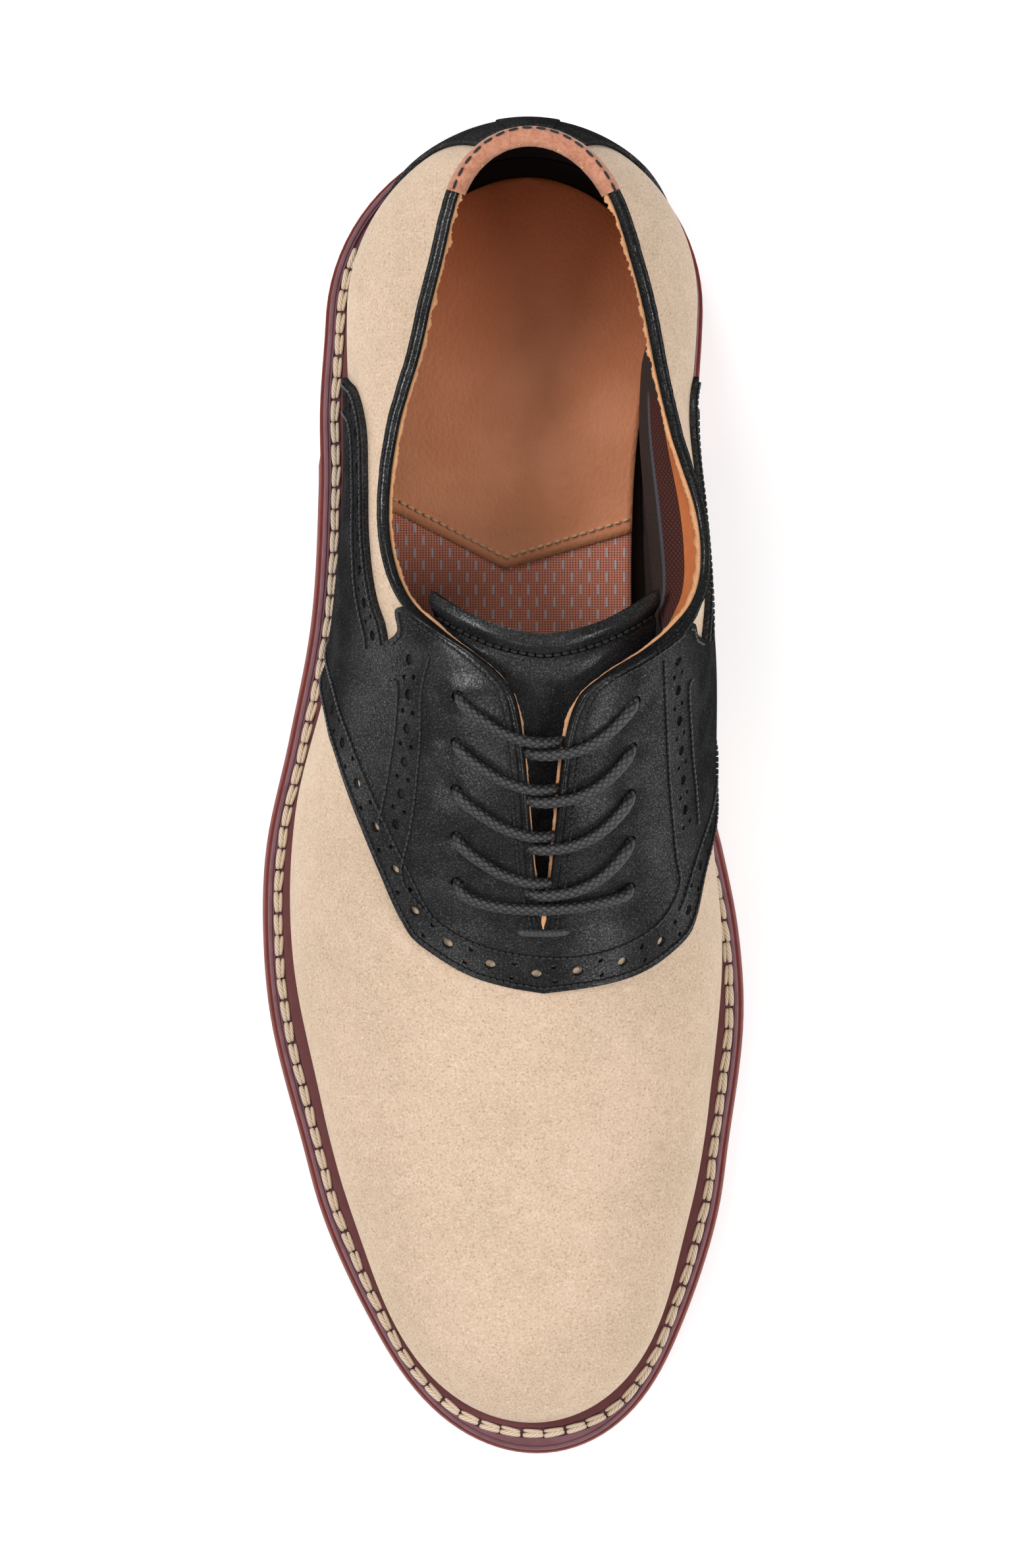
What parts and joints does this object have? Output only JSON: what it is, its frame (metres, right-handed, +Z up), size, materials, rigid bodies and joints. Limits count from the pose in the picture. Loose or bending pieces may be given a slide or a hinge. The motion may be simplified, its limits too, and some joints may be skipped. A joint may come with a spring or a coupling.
{
  "type": "saddle shoe",
  "caption": "Low lace-up dress shoe for the right foot, with a dark saddle and heel counter over a pale upper, a stitched welt and a low-heeled rubber sole.",
  "frame": {"origin": "centre of the bounding box, on the floor under the sole", "axes": "+Z up, -Y towards the toe, +X towards the inner side of the foot"},
  "size_m": [0.1091, 0.298, 0.0934],
  "materials": {
    "outsole_rubber": "matt brick-red rubber",
    "welt_rubber": "matt plum-brown welt",
    "insole_leather": "smooth brown leather and mesh",
    "quarter_leather": "cream nubuck",
    "saddle_leather": "smooth black leather, satin",
    "tab_leather": "tan suede",
    "lace_cord": "waxed black round lace"
  },
  "bodies": {
    "root": {"outsole": "outsole_rubber", "welt": "welt_rubber", "insole": "insole_leather", "upper": "quarter_leather", "saddle": "saddle_leather", "counter": "saddle_leather", "collar_binding_outer": "saddle_leather", "collar_binding_inner": "saddle_leather", "heel_tab": "tab_leather", "tongue": "saddle_leather", "lace_crossing_1": "lace_cord", "lace_crossing_2": "lace_cord", "lace_crossing_3": "lace_cord", "lace_crossing_4": "lace_cord", "lace_bar": "lace_cord", "throat_tack": "lace_cord"}
  },
  "joints": []
}
